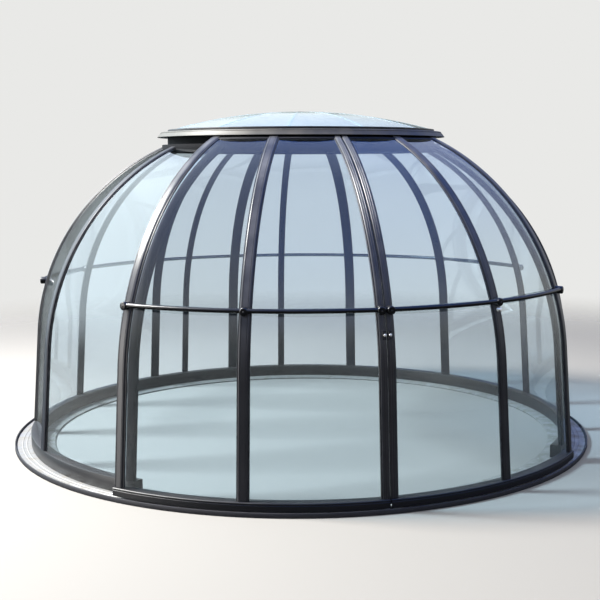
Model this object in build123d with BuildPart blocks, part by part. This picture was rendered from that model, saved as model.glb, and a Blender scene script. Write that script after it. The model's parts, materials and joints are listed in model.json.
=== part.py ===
"""Garden dome: a round glazed garden room with two rotating doors.

Fixed ribs and flat-across panes stand on a ring-shaped floor track and meet a hub ring under a
shallow glazed cap.  At the front two door shells of the same form turn round the dome's upright
axis, outside the fixed shell.  Millimetres, +Z up, the origin on the ground at the dome's centre,
the doors toward -Y.  Bearings are degrees from the front, positive toward +X.
"""
import os
from math import asin, copysign, cos, degrees, radians, sin, sqrt, tan

from build123d import *

# Meridian of the door panes' outer face: a leaning leg, then one arc
foot_radius = 2032
leg_lean = 4.1
spring_height = 771
arc_radius = 1622

# Plan: bays between rib centre lines in degrees, the fixed ones from the left edge round the back
meeting_bearing = 14.2
left_door_bays = (22.7, 23.9)
right_door_bays = (23.2, 23.1)
left_edge_lap = 1
fixed_bays = (28.9, 25.7, 26, 26.2, 9.1, 13.6, 13.3, 19.1, 27.4, 28.7, 24.6, 24.4)
fixed_kinds = ("wide", "wide", "wide", "wide", "barred", "slim", "barred", "slim", "barred", "barred",
               "barred", "wide", "wide")
track_quarter = 90

# Sections of ribs and panes
pane_thickness = 6
pane_seam = 2
door_rib_width = 60
fixed_rib_width = 68
meeting_rib_width = 40
slim_bar_width = 40
rib_proud = 6
rib_depth = 18
slide_clearance = 7
meeting_gap = 8

# Sills, rollers and floor track
sill_wall = 4
sill_lip = 13
sill_margin = 12
sill_gap = 7
sill_lift = 10
door_sill_height = 50
fixed_sill_height = 88
roller_radius = 19
roller_width = 16
roller_sides = 24
axle_radius = 6
roller_inset = 2
running_gap = 0.3
track_thickness = 16
track_flange = 92
curb_gap = 20
curb_width = 10
curb_height = 30

# Hub ring, door top rails, fascia and cap
hub_outer_radius = 1000
hub_width = 55
hub_lap = 14
neck_wall = 15
door_top_reach = 45
top_rail_length = 28
fascia_gap = 8
fascia_overhang = 10
fascia_lip_width = 12
fascia_height = 36
fascia_crown_inset = 26
fascia_crown_thickness = 16
cap_edge_inset = 52
cap_rise = 132
cap_thickness = 6
cap_wedge = 30
cap_seam_bearing = -5
cap_boss_radius = 62
cap_trim_width = 24
cap_trim_height = 8

# Grab bars, their brackets and the lock
door_bar_height = 1149
back_bar_height = 1136
bar_radius = 14
bar_sides = 8
bar_standoff = 10
bracket_radius = 25
bracket_drop = 4
bracket_front = 4
bracket_sides = 12
face_gap = 0.3
lock_drop = 144
lock_length = 50
lock_width = 20
lock_margin = 2
lock_corner = 5
lock_thickness = 5
knob_radius = 8
knob_length = 18
knob_neck_radius = 4.5
knob_sides = 12

# Where the meridian's arc begins and is centred, and how far the fixed shell stands inside the doors
lean = radians(leg_lean)
spring_radius = foot_radius - spring_height * tan(lean)
arc_centre_radius = spring_radius - arc_radius * cos(lean)
arc_centre_height = spring_height - arc_radius * sin(lean)
door_half_bay = radians(max(left_door_bays + right_door_bays) / 2)
fixed_half_bay = radians(max(fixed_bays) / 2)
door_sagitta = foot_radius * (1 - cos(door_half_bay))
shell_step = door_sagitta + pane_thickness + slide_clearance + rib_proud
fixed_face = -shell_step

# The lock hangs below the grab bar
lock_height = door_bar_height - lock_drop

# Bearings of the door edges and of the fixed ribs
left_edge_bearing = meeting_bearing - sum(left_door_bays)
right_edge_bearing = meeting_bearing + sum(right_door_bays)
fixed_bearings = [left_edge_bearing + left_edge_lap]
for bay in fixed_bays:
    fixed_bearings.append(fixed_bearings[-1] - bay)

# Radii and heights of sills and track, each from its neighbour
door_sill_outer = foot_radius + sill_lip
door_sill_inner = foot_radius - door_sagitta - pane_thickness - sill_margin
fixed_sill_outer = door_sill_inner - sill_gap
fixed_sill_inner = (foot_radius - shell_step) * cos(fixed_half_bay) - pane_thickness - sill_margin
door_sill_bottom = track_thickness + sill_lift
door_sill_top = door_sill_bottom + door_sill_height
fixed_sill_top = track_thickness + fixed_sill_height
track_inner = fixed_sill_inner - track_flange
curb_inner = door_sill_outer + curb_gap
track_outer = curb_inner + curb_width


def outward(bearing):
    """Level direction from the axis along a bearing."""
    return Vector(sin(radians(bearing)), -cos(radians(bearing)), 0)


def sideways(bearing):
    """Level direction square to a bearing, toward larger bearings."""
    return Vector(cos(radians(bearing)), sin(radians(bearing)), 0)


def meridian(bearing, shift=0):
    """Upright plane along a bearing, moved sideways: its x runs outward, its y runs up."""
    return Plane(sideways(bearing) * shift, x_dir=outward(bearing), z_dir=-sideways(bearing))


def arc_point(angle, offset, squeeze=1):
    """Point of the arc at an angle above level, offset outward, its radius squeezed to a chord."""
    radius = arc_radius + offset
    turn = radians(angle)
    return squeeze * (arc_centre_radius + radius * cos(turn)), arc_centre_height + radius * sin(turn)


def leg_point(height, offset, squeeze=1):
    """Point of the leg at a height, offset outward."""
    return squeeze * (foot_radius + offset / cos(lean) - height * tan(lean)), height


def angle_at_height(height, offset):
    """Angle above level at which an offset arc reaches a height."""
    return degrees(asin((height - arc_centre_height) / (arc_radius + offset)))


def radius_at_height(height, offset):
    """Radius of an offset arc at a height."""
    return arc_point(angle_at_height(height, offset), offset)[0]


def angle_at_radius(radius, offset):
    """Angle above level at which an offset arc comes in to a radius."""
    level = (radius - arc_centre_radius) / (arc_radius + offset)
    return degrees(asin(sqrt(1 - level * level)))


def height_at_radius(radius, offset):
    """Height of an offset arc where it comes in to a radius."""
    return arc_point(angle_at_radius(radius, offset), offset)[1]


def shell_band(plane, inner, outer, low, top_angle, squeeze=1):
    """Upright band between two offsets of the meridian, from a level foot to its top angles."""
    top_inner, top_outer = top_angle(inner), top_angle(outer)
    spring_inner, spring_outer = (arc_point(leg_lean, side, squeeze) for side in (inner, outer))
    middle_inner = arc_point((leg_lean + top_inner) / 2, inner, squeeze)
    middle_outer = arc_point((leg_lean + top_outer) / 2, outer, squeeze)
    with BuildSketch(plane) as band:
        with BuildLine():
            Line(leg_point(low, outer, squeeze), spring_outer)
            ThreePointArc(spring_outer, middle_outer, arc_point(top_outer, outer, squeeze))
            Line(arc_point(top_outer, outer, squeeze), arc_point(top_inner, inner, squeeze))
            ThreePointArc(arc_point(top_inner, inner, squeeze), middle_inner, spring_inner)
            Line(spring_inner, leg_point(low, inner, squeeze))
            Line(leg_point(low, inner, squeeze), leg_point(low, outer, squeeze))
        make_face()
    return band.sketch


def rib(place, face, low, top_angle):
    """One rib: a bent bar that stands a little proud of the panes it holds on both sides."""
    bearing, width, shift = place
    band = shell_band(meridian(bearing, shift), face - rib_depth, face + rib_proud, low, top_angle)
    with BuildPart() as bent:
        extrude(band, amount=width / 2, both=True)
    return bent.part


def flat_sheet(band, reach, first, last):
    """Sheet that is flat across: a band drawn out both ways and cut off at its two sides."""
    with BuildPart() as sheet:
        extrude(band, amount=reach, both=True)
        for (bearing, margin, shift), sign in ((first, 1), (last, -1)):
            across = sideways(bearing) * sign
            split(bisect_by=Plane(across * (margin + shift * sign), z_dir=across), keep=Keep.TOP)
    return sheet.part


def pane_pair(first, last, face, low, top_angle, seam_height, top_frame):
    """Lower and upper pane of one bay: bent along the ribs, flat across, seamed at the bar."""
    half_bay = (last[0] - first[0]) / 2
    plane = meridian(first[0] + half_bay)
    band = shell_band(plane, face - pane_thickness, face, low, top_angle, cos(radians(half_bay)))
    reach = foot_radius * tan(radians(half_bay)) + fixed_rib_width
    edges = [(bearing, width / 2, shift) for bearing, width, shift in (first, last)]
    whole = flat_sheet(band, reach, *edges)
    sheets = []
    for sign, keep in ((-1, Keep.BOTTOM), (1, Keep.TOP)):
        with BuildPart() as sheet:
            add(whole)
            split(bisect_by=Plane.XY.offset(seam_height + sign * pane_seam / 2), keep=keep)
            add(top_frame, mode=Mode.SUBTRACT)
        sheets.append(sheet.part)
    return sheets


def turned(start, sweep, outline):
    """Revolve an outline in the meridian plane through a sweep of bearings."""
    with BuildPart() as ring:
        with BuildSketch(meridian(start)):
            with BuildLine():
                Polyline(*outline, close=True)
            make_face()
        revolve(axis=Axis.Z, revolution_arc=sweep)
    return ring.part


def box_outline(inner, outer, low, high):
    """Outline of a plain rectangular ring."""
    return (inner, low), (outer, low), (outer, high), (inner, high)


def channel(inner, outer, low, high):
    """Outline of a sill extrusion, open below."""
    return ((inner, low), (inner + sill_wall, low), (inner + sill_wall, high - sill_wall),
            (outer - sill_wall, high - sill_wall), (outer - sill_wall, low), (outer, low),
            (outer, high), (inner, high))


def bracket(place, height, rib_face, front):
    """Round bracket that stands on a rib's sloping face, flush with the side a meeting rib keeps."""
    bearing, width, shift = place
    slope = radians(angle_at_height(height, rib_face))
    reach = radius_at_height(height, rib_face)
    out = outward(bearing)
    beyond = copysign(max(bracket_radius - width / 2, 0), shift)
    origin = sideways(bearing) * (shift + beyond) + Vector(0, 0, height)
    normal = out * cos(slope) + Vector(0, 0, sin(slope))
    with BuildPart() as disc:
        with BuildSketch(Plane(origin + out * front, x_dir=sideways(bearing), z_dir=out)):
            RegularPolygon(bracket_radius, bracket_sides)
        extrude(amount=reach - bracket_radius - front)
        split(bisect_by=Plane(origin + out * reach + normal * face_gap, z_dir=normal), keep=Keep.TOP)
    return disc.part


def grab_bar(start, finish, height, face, places):
    """Bar bent to the dome, held at each rib by a round bracket that also closes its free ends."""
    rib_face = face + rib_proud
    bar_middle = radius_at_height(height, rib_face) + bar_standoff + bar_radius
    front = bar_middle + bar_radius + bracket_front
    brackets = [bracket(place, height - bracket_drop, rib_face, front) for place in places]
    with BuildPart() as bar:
        with BuildSketch(meridian(start)):
            with Locations((bar_middle, height)):
                RegularPolygon(bar_radius, bar_sides)
        revolve(axis=Axis.Z, revolution_arc=finish - start)
        add(brackets)
    return bar.part


def roller(bearing):
    """Wheel on a hexagon bolt, across the door sill."""
    height = track_thickness + running_gap + roller_radius
    middle = (door_sill_inner + door_sill_outer) / 2
    bolt = door_sill_outer - door_sill_inner - 2 * (sill_wall + running_gap)
    seat = Plane(outward(bearing) * middle + Vector(0, 0, height), x_dir=sideways(bearing),
                 z_dir=outward(bearing))
    with BuildPart() as wheel:
        with BuildSketch(seat):
            RegularPolygon(roller_radius, roller_sides)
        extrude(amount=roller_width / 2, both=True)
        with BuildSketch(seat):
            RegularPolygon(axle_radius, 6)
        extrude(amount=bolt / 2, both=True)
    return wheel.part


def lock(bearing, side):
    """Lock plate and round knob on the face of a meeting rib, beside the meeting line."""
    slope = radians(angle_at_height(lock_height, rib_proud))
    rib_face = radius_at_height(lock_height, rib_proud) + face_gap
    shift = copysign((meeting_gap + lock_width) / 2 + lock_margin, side)
    seat = outward(bearing) * rib_face + sideways(bearing) * shift + Vector(0, 0, lock_height)
    normal = outward(bearing) * cos(slope) + Vector(0, 0, sin(slope))
    tilt = Plane(seat, x_dir=sideways(bearing), z_dir=normal)
    with BuildPart() as plate:
        with BuildSketch(tilt) as face:
            Rectangle(lock_width, lock_length)
            chamfer(face.vertices(), lock_corner)
        extrude(amount=lock_thickness)
        with BuildSketch(tilt.offset(lock_thickness)):
            RegularPolygon(knob_neck_radius, 6)
        extrude(amount=knob_length / 2)
        with BuildSketch(tilt.offset(lock_thickness + knob_length / 2)):
            RegularPolygon(knob_radius, knob_sides)
        extrude(amount=knob_length / 2)
    return plate.part


def write(solids, name):
    """Join one node's solids, label them and write the file."""
    with BuildPart() as node:
        add(solids)
    node.part.label = name
    export_step(node.part, f"parts/{name}.step")


# Angles and corners of the door top rail, and the heights that follow from it
door_top_angle = angle_at_radius(hub_outer_radius + door_top_reach, 0)
rail_end_angle = door_top_angle + degrees(top_rail_length / arc_radius)
rail_end_radius, rail_end_height = arc_point(rail_end_angle, rib_proud)


def door_stop(offset):
    """Top angle of a door's ribs and panes."""
    return door_top_angle


def hub_stop(offset):
    """Top angle of the fixed ribs and panes at an offset."""
    return angle_at_radius(hub_outer_radius, offset)


def door(side, places, names):
    """One rotating door: sill, top rail, ribs, panes, grab bar, rollers and lock."""

    def edges(radius):
        """Bearings of the door's two outer sides at a radius."""
        first, last = places[0], places[-1]
        low = first[0] + degrees(asin((first[2] - first[1] / 2) / radius))
        return low, last[0] + degrees(asin((last[2] + last[1] / 2) / radius))

    first, last = edges(door_sill_inner)
    sill = channel(door_sill_inner, door_sill_outer, door_sill_bottom, door_sill_top)
    write(turned(first, last - first, sill), f"{side}_door_sill")

    rail_first, rail_last = edges(arc_point(rail_end_angle, -rib_depth)[0])
    corners = [arc_point(door_top_angle, offset) for offset in (-rib_depth, rib_proud)]
    corners += [arc_point(rail_end_angle, offset) for offset in (rib_proud, -rib_depth)]
    top_rail = turned(rail_first, rail_last - rail_first, corners)
    write(top_rail, f"{side}_door_top_rail")

    for place, name in zip(places, names):
        write(rib(place, 0, door_sill_top, door_stop), f"{side}_door_{name}_rib")
    sheets = []
    for one, other in zip(places, places[1:]):
        sheets += pane_pair(one, other, 0, door_sill_top, door_stop, door_bar_height, top_rail)
    write(sheets, f"{side}_door_panes")
    free_end = places[names.index("trailing")][0]
    bar_ends = (free_end, last) if names[0] == "trailing" else (first, free_end)
    write(grab_bar(*bar_ends, door_bar_height, 0, places), f"{side}_door_bar")
    bearings = (first + roller_inset, (first + last) / 2, last - roller_inset)
    write([roller(bearing) for bearing in bearings], f"{side}_door_rollers")
    meeting = places[names.index("meeting")]
    write(lock(meeting[0], meeting[2]), f"{side}_door_lock")


os.makedirs("parts", exist_ok=True)

# Floor track: a flat ring with an outer curb, in quarters
for place, side in enumerate(("front", "right", "back", "left")):
    outline = ((track_inner, 0), (track_outer, 0), (track_outer, curb_height),
               (curb_inner, curb_height), (curb_inner, track_thickness), (track_inner, track_thickness))
    write(turned((place - 0.5) * track_quarter, track_quarter, outline), f"{side}_track")

# Hub ring: the fixed ribs end on its face, and its neck carries the fascia
fascia_bottom = rail_end_height + fascia_gap
fascia_top = fascia_bottom + fascia_height
fascia_seat = fascia_top - fascia_crown_thickness
hub_inner = hub_outer_radius - hub_width
pane_foot = height_at_radius(hub_outer_radius / cos(fixed_half_bay), fixed_face - pane_thickness)
hub_bottom = pane_foot - hub_lap
hub_top = height_at_radius(hub_outer_radius, fixed_face + rib_proud) + hub_lap
hub_ring = turned(0, 360, ((hub_inner, hub_bottom), (hub_outer_radius, hub_bottom),
                           (hub_outer_radius, hub_top), (hub_inner + neck_wall, hub_top),
                           (hub_inner + neck_wall, fascia_seat), (hub_inner, fascia_seat)))
write(hub_ring, "hub_ring")

# Fixed shell: ribs from the left edge round the back to the right edge
fixed_places = [(bearing, slim_bar_width if kind == "slim" else fixed_rib_width, 0)
                for bearing, kind in zip(fixed_bearings, fixed_kinds)]
number = 0
slim_bars, bar_places = [], []
for place, kind in zip(fixed_places, fixed_kinds):
    solid = rib(place, fixed_face, fixed_sill_top, hub_stop)
    if kind == "slim":
        slim_bars.append(solid)
        continue
    number += 1
    write(solid, f"fixed_rib_{number:02d}")
    if kind == "barred":
        bar_places.append(place)
write(slim_bars, "slim_glazing_bars")
bar_ends = (bar_places[-1][0], bar_places[0][0])
write(grab_bar(*bar_ends, back_bar_height, fixed_face, bar_places), "back_bar")

# Fixed panes and sills, in four runs of three bays
edge_reach = degrees(fixed_rib_width / 2 / fixed_sill_inner)
bays_in_run = len(fixed_bays) // 4
for run, side in enumerate(("left", "back_left", "back_right", "right")):
    from_place, to_place = run * bays_in_run, (run + 1) * bays_in_run
    sheets = []
    for one, other in zip(fixed_places[from_place + 1:to_place + 1], fixed_places[from_place:to_place]):
        sheets += pane_pair(one, other, fixed_face, fixed_sill_top, hub_stop, back_bar_height, hub_ring)
    write(sheets, f"{side}_panes")
    start, finish = fixed_bearings[to_place], fixed_bearings[from_place]
    start -= edge_reach if side == "right" else 0
    finish += edge_reach if side == "left" else 0
    sill = box_outline(fixed_sill_inner, fixed_sill_outer, track_thickness, fixed_sill_top)
    write(turned(start, finish - start, sill), f"{side}_sill")

# Fascia: its lip stands over the door top rails and its crown carries the cap
fascia_lip_radius = rail_end_radius + fascia_overhang
fascia_crown_radius = fascia_lip_radius - fascia_crown_inset
cap_edge_radius = fascia_crown_radius - cap_edge_inset
crown_inner = cap_edge_radius - cap_trim_width
fascia = ((crown_inner, fascia_seat), (fascia_crown_radius - fascia_lip_width, fascia_seat),
          (fascia_lip_radius - fascia_lip_width, fascia_bottom), (fascia_lip_radius, fascia_bottom),
          (fascia_crown_radius, fascia_top), (crown_inner, fascia_top))
write(turned(0, 360, fascia), "fascia_ring")

# Cap: bent wedge-shaped panes between an edge trim and a disc at the crown
cap_seat = fascia_top + cap_trim_height
sphere_radius = (cap_edge_radius ** 2 + cap_rise ** 2) / 2 / cap_rise
sphere_low = cap_seat + cap_rise - sphere_radius


def cap_point(radius, offset, squeeze=1):
    """Point of the cap's curve, offset upward."""
    return squeeze * radius, sphere_low + sqrt(sphere_radius ** 2 - radius ** 2) + offset


def cap_band(plane, inner, outer, squeeze=1):
    """Upright section of the cap between two radii."""
    middle = (inner + outer) / 2
    with BuildSketch(plane) as band:
        with BuildLine():
            ThreePointArc(*(cap_point(radius, 0, squeeze) for radius in (inner, middle, outer)))
            Line(cap_point(outer, 0, squeeze), cap_point(outer, cap_thickness, squeeze))
            ThreePointArc(*(cap_point(radius, cap_thickness, squeeze)
                            for radius in (outer, middle, inner)))
            Line(cap_point(inner, cap_thickness, squeeze), cap_point(inner, 0, squeeze))
        make_face()
    return band.sketch


half_wedge = cap_wedge / 2
wedges = []
for place in range(round(360 / cap_wedge)):
    bearing = cap_seam_bearing + half_wedge + place * cap_wedge
    band = cap_band(meridian(bearing), cap_boss_radius, cap_edge_radius, cos(radians(half_wedge)))
    sides = [(bearing + turn, pane_seam / 2, 0) for turn in (-half_wedge, half_wedge)]
    wedges.append(flat_sheet(band, cap_edge_radius, *sides))
write(wedges, "cap_glazing")
trim = turned(0, 360, box_outline(crown_inner, cap_edge_radius, fascia_top, cap_seat))
with BuildPart() as boss:
    with BuildSketch(Plane.XY.offset(cap_seat + cap_rise)):
        RegularPolygon(cap_boss_radius - face_gap, round(360 / cap_wedge), rotation=cap_seam_bearing)
    extrude(amount=cap_thickness)
write([trim, boss.part], "cap_trim")

# Doors: the meeting ribs stand side by side, on planes either side of the meeting line
meeting_shift = (meeting_rib_width + meeting_gap) / 2
door("left", [(left_edge_bearing, door_rib_width, 0),
              (left_edge_bearing + left_door_bays[0], door_rib_width, 0),
              (meeting_bearing, meeting_rib_width, -meeting_shift)], ("trailing", "middle", "meeting"))
door("right", [(meeting_bearing, meeting_rib_width, meeting_shift),
               (meeting_bearing + right_door_bays[0], door_rib_width, 0),
               (right_edge_bearing, door_rib_width, 0)], ("meeting", "middle", "trailing"))
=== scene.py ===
# %% [markdown]
# A garden dome: a round glazed garden room.  Bent aluminium ribs hold clear polycarbonate panes,
# a shallow glazed cap closes the crown, and two doors turn round the upright axis of the dome.
# The CAD model comes in first as a fixed frame.  Everything below dresses that frame, in metres,
# with +Z up and the doors toward -Y.

# %% Load the frame
import json
from math import acos, asin, ceil, copysign, cos, degrees, pi, radians, sin, sqrt, tan

import bmesh
import bpy
from mathutils import Matrix, Vector

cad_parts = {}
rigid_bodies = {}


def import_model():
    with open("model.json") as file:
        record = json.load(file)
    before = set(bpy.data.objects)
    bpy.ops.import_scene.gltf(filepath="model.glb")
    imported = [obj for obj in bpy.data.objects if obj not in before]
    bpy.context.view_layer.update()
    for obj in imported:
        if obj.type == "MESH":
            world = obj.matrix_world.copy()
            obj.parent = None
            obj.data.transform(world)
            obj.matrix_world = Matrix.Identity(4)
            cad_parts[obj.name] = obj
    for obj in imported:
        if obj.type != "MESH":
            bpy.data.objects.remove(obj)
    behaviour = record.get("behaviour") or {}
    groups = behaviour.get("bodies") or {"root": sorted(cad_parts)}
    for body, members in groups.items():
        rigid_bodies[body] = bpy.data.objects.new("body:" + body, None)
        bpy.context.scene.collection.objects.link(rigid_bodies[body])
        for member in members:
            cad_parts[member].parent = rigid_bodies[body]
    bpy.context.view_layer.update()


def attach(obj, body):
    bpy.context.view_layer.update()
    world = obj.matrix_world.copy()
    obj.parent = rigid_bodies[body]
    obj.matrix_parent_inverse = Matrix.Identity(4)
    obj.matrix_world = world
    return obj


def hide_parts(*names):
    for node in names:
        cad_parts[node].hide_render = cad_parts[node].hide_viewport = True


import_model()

# %% [markdown]
# The camera stands nearly eight metres from the dome's axis and two metres up, and aims a little
# to the right of it.  Its aim and lens come from lining up the dome's rings and ribs with the
# photograph.  The view is 600 pixels square, so a focal length in pixels turns into millimetres
# through the sensor's width.

# %% Camera
IMAGE = 600
SENSOR = 36.0
FOCAL_PIXELS = 1070.1
EYE = Vector((0.0, -7.848, 1.985))
YAW, PITCH, ROLL = radians(1.18), radians(7.16), radians(-0.12)
CENTRE_RIGHT, CENTRE_DOWN = 23.9, -5.1      # of the lens axis from the picture's centre, pixels

aim = Vector((sin(YAW) * cos(PITCH), cos(YAW) * cos(PITCH), -sin(PITCH)))
level_right = Vector((cos(YAW), -sin(YAW), 0))
level_up = level_right.cross(aim)
right = level_right * cos(ROLL) + level_up * sin(ROLL)
up = level_up * cos(ROLL) - level_right * sin(ROLL)
lens = bpy.data.cameras.new("camera")
lens.sensor_width = SENSOR
lens.lens = FOCAL_PIXELS * SENSOR / IMAGE
lens.shift_x = -CENTRE_RIGHT / IMAGE
lens.shift_y = CENTRE_DOWN / IMAGE
lens.clip_end = 200
camera = bpy.data.objects.new("camera", lens)
bpy.context.scene.collection.objects.link(camera)
camera.matrix_world = Matrix.Translation(EYE) @ Matrix((right, up, -aim)).transposed().to_4x4()
bpy.context.scene.camera = camera
bpy.context.scene.view_settings.view_transform = "Standard"
print("camera lens", round(lens.lens, 2), "mm")

# %% [markdown]
# Materials are node trees.  One small function adds a node, sets its inputs and links it, and one
# function turns the sRGB hex colours that designers use into the linear numbers of a renderer.
# The nodes that come back in most materials have short functions of their own.


# %% Node helpers
def linear(code):
    """Linear colour of an sRGB hex code."""
    channels = [int(code[i:i + 2], 16) / 255 for i in (1, 3, 5)]
    return [c / 12.92 if c <= 0.04045 else ((c + 0.055) / 1.055) ** 2.4 for c in channels] + [1.0]


def add(tree, kind, out=0, **inputs):
    """Add a node.  A keyword is a property, an input's name, or n and an input's number.

    A value that is a socket is linked.  The output called out, or with that number, comes back.
    """
    node = tree.nodes.new("ShaderNode" + kind)
    for name, value in inputs.items():
        if hasattr(node, name):
            setattr(node, name, value)
            continue
        is_number = name[0] == "n" and name[1:].isdigit()
        socket = node.inputs[int(name[1:]) if is_number else name.replace("_", " ")]
        if isinstance(value, bpy.types.NodeSocket):
            tree.links.new(value, socket)
        else:
            socket.default_value = value
    return node.outputs[out] if len(node.outputs) else node


def new_material(name):
    """An empty node material, its tree and the place of a point on the object, in metres."""
    material = bpy.data.materials.new(name)
    material.use_nodes = True
    tree = material.node_tree
    tree.nodes.clear()
    return material, tree, add(tree, "TexCoord", out="Object")


def noise(tree, place, millimetres, detail, **more):
    """Noise whose features are about this many millimetres across."""
    return add(tree, "TexNoise", Vector=place, Scale=1000.0 / millimetres, Detail=detail, **more)


def ramp(tree, value, *stops):
    """Colour ramp through (place, hex colour) stops."""
    colour = add(tree, "ValToRGB", Fac=value)
    elements = colour.node.color_ramp.elements
    while len(elements) < len(stops):
        elements.new(0.5)
    for element, (place, code) in zip(elements, stops):
        element.position, element.color = place, linear(code)
    return colour


def remap(tree, value, low, high, to_low=0.0, to_high=1.0, **more):
    """Value carried over from one range to another."""
    return add(tree, "MapRange", n0=value, n1=low, n2=high, n3=to_low, n4=to_high, **more)


def times(tree, first, second):
    return add(tree, "Math", operation="MULTIPLY", n0=first, n1=second)


def blend(tree, share, first, second):
    """Mix of two colours."""
    return add(tree, "Mix", out=2, data_type="RGBA", n0=share, n6=first, n7=second)


def finish_material(tree, shader):
    add(tree, "OutputMaterial", Surface=shader)


# %% [markdown]
# Powder-coated aluminium.  Dry polyester powder is sprayed on and baked, so it is a plastic skin
# and not bare metal: it is dark, evenly satin and very slightly pebbled, like orange peel.
# Upward faces are paler, partly from a little pale dust and partly as painted light from the sky
# above.  The fixed shell carries less of that pale tone and is tinted bluer than the doors, a
# painted reflection of blue sky.  The fixed ribs behind the doors' trailing ribs and the hub ring
# under the fascia have nearly black coats with little pale tone: painted shade.

# %% Powder-coated aluminium
PEEL_MM = 7.0       # real orange peel is 1 to 3 mm across; drawn coarser so that it shows
DUST_MM = 160.0     # clouds of dust
DUST_ROUGHER = 0.18


def powder_coat(metal, code, dust_and_light_code, dust_and_painted_light, roughness, sheen=0.5):
    material, tree, point = new_material("powder_coated_" + metal)
    cloud = noise(tree, point, DUST_MM, 5.0)
    facing = add(tree, "SeparateXYZ", out="Z", Vector=add(tree, "NewGeometry", out="Normal"))
    # paler upward faces: partly dust, partly painted light from the sky above
    upward_dust_and_light = remap(tree, facing, 0.1, 0.9, 0.06, 1.0)
    patch = remap(tree, cloud, 0.35, 0.75, 0.2, 1.0)
    dust_and_light_share = times(tree, upward_dust_and_light, patch)
    colour = blend(tree, times(tree, dust_and_light_share, dust_and_painted_light), linear(code), linear(dust_and_light_code))
    rough = remap(tree, dust_and_light_share, 0, 1, roughness, roughness + DUST_ROUGHER)
    peel = noise(tree, point, PEEL_MM, 1.0)
    bump = add(tree, "Bump", Strength=0.06, Distance=0.001, Height=peel)
    finish_material(tree, add(tree, "BsdfPrincipled", Base_Color=colour, Roughness=rough,
                              Normal=bump, Specular_IOR_Level=sheen))
    return material


anthracite = powder_coat("aluminium_anthracite", "#232429", "#85878f", 0.50, 0.30)
# the shell's bluer base colour is a painted reflection of blue sky
sky_blue_shell_coat = powder_coat("aluminium_shell_sky_blue", "#1d2028", "#707379", 0.35, 0.38, sheen=0.4)
# nearly black coat for the fixed ribs behind the doors' trailing ribs: painted shade
shaded_edge_rib_coat = powder_coat("aluminium_shaded_dark", "#17181d", "#5c5e66", 0.12, 0.60, sheen=0.2)
# nearly black coat for the hub ring in its recess under the fascia: painted shade
shaded_hub_black = powder_coat("aluminium_hub_shade_black", "#0d0e12", "#3a3b40", 0.10, 0.70, sheen=0.1)
rail_coat = powder_coat("aluminium_rail", "#17181c", "#4c4947", 0.25, 0.40)
ring_coat = powder_coat("aluminium_ring", "#353430", "#8f8a80", 0.40, 0.40)
bar_coat = powder_coat("steel_black", "#101114", "#5a5955", 0.10, 0.24)

# %% [markdown]
# Clear polycarbonate.  The panes are extruded flat and then cold-bent, so they are glossy on both
# faces.  Polycarbonate bends light a little more than glass does, with an IOR of 1.585, and six
# millimetres of it look faintly blue-grey.  The upper panes have a thin film of dust and dried
# rain.  Lamps and soft light pass straight through, by a Transparent shader that only shadow rays
# and diffuse rays meet, so that the room inside is lit.

# %% Clear sheet
FILM_MM = 240.0     # patches of the dusty film
RUN_MM = 45.0       # width of one dried rain run
WAVE_MM = 700.0     # cold-bent sheets are a little wavy, which shows in what they mirror
SHEET_IOR = 1.585


def clear_sheet(name, code, film_low, film_high, low_z, high_z, film_code="#dfe6ea", wave=0.06,
                uneven=(0.35, 1.5)):
    """Clear sheet whose dusty film grows from one height to another."""
    material, tree, point = new_material(name)
    path = add(tree, "LightPath").node.outputs
    passing = add(tree, "Math", operation="MAXIMUM", n0=path["Is Shadow Ray"],
                  n1=path["Is Diffuse Ray"])
    height = add(tree, "SeparateXYZ", out="Z", Vector=point)
    level = remap(tree, height, low_z, high_z, film_low, film_high)
    cloud = noise(tree, point, FILM_MM, 6.0, Roughness=0.6)
    runs = noise(tree, add(tree, "Mapping", n0=point, n3=(1.0, 1.0, 0.12)), RUN_MM, 4.0)
    patch = remap(tree, times(tree, cloud, runs), 0.14, 0.42, *uneven)
    film = times(tree, level, patch)
    rough = remap(tree, patch, 0, 1, 0, 0.008)
    swell = noise(tree, point, WAVE_MM, 1.0)
    bent = add(tree, "Bump", Strength=wave, Distance=0.006, Height=swell)
    sheet = add(tree, "BsdfPrincipled", Base_Color=linear(code), Roughness=rough, IOR=SHEET_IOR,
                Transmission_Weight=1.0, Normal=bent)
    # the film: dust, and on the cap also a pale blue tint that is a painted reflection of the sky
    dust_and_painted_light = add(tree, "BsdfDiffuse", Color=linear(film_code))
    dusty = add(tree, "MixShader", n0=film, n1=sheet, n2=dust_and_painted_light)
    through = add(tree, "BsdfTransparent", Color=linear(code))
    finish_material(tree, add(tree, "MixShader", n0=passing, n1=dusty, n2=through))
    return material


pane_sheet = clear_sheet("clear_polycarbonate_pane", "#eaf3f8", 0.002, 0.008, 0.6, 1.9)
# the cap's heavier film is pale blue: partly dust haze, partly a painted reflection of the sky
cap_sheet = clear_sheet("clear_polycarbonate_cap", "#e4f1fa", 0.12, 0.17, 2.15, 2.33, "#e0edf0",
                        wave=0, uneven=(0.8, 1.1))
strip_sheet = clear_sheet("polycarbonate_joint_strip", "#b9c6ce", 0.03, 0.07, 0.5, 2.3)

# %% [markdown]
# The small parts have materials of their own.  Gaskets are smooth black rubber, a little grey
# where they have weathered.  The floor track is mill-finish aluminium, dull in patches, with fine
# lines that follow the ring, and its outer curb is coated dark.  Wheels are black nylon and
# the screws, locks and knobs are stainless steel.

# %% Small-part materials
WEATHER_MM = 30.0   # grey patches of the rubber
LINE_MM = 3.0       # drawing lines of the track are finer than this in life
DIRT_MM = 90.0
SCRATCH_MM = 18.0
CURB_FROM = 2.058   # the track is powder-coated dark from this radius outward, in metres


def rubber(name, code):
    material, tree, point = new_material(name)
    cloud = noise(tree, point, WEATHER_MM, 4.0)
    colour = ramp(tree, cloud, (0.35, code), (0.75, "#34353a"))
    finish_material(tree, add(tree, "BsdfPrincipled", Base_Color=colour, Roughness=0.4, IOR=1.5))
    return material


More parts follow.
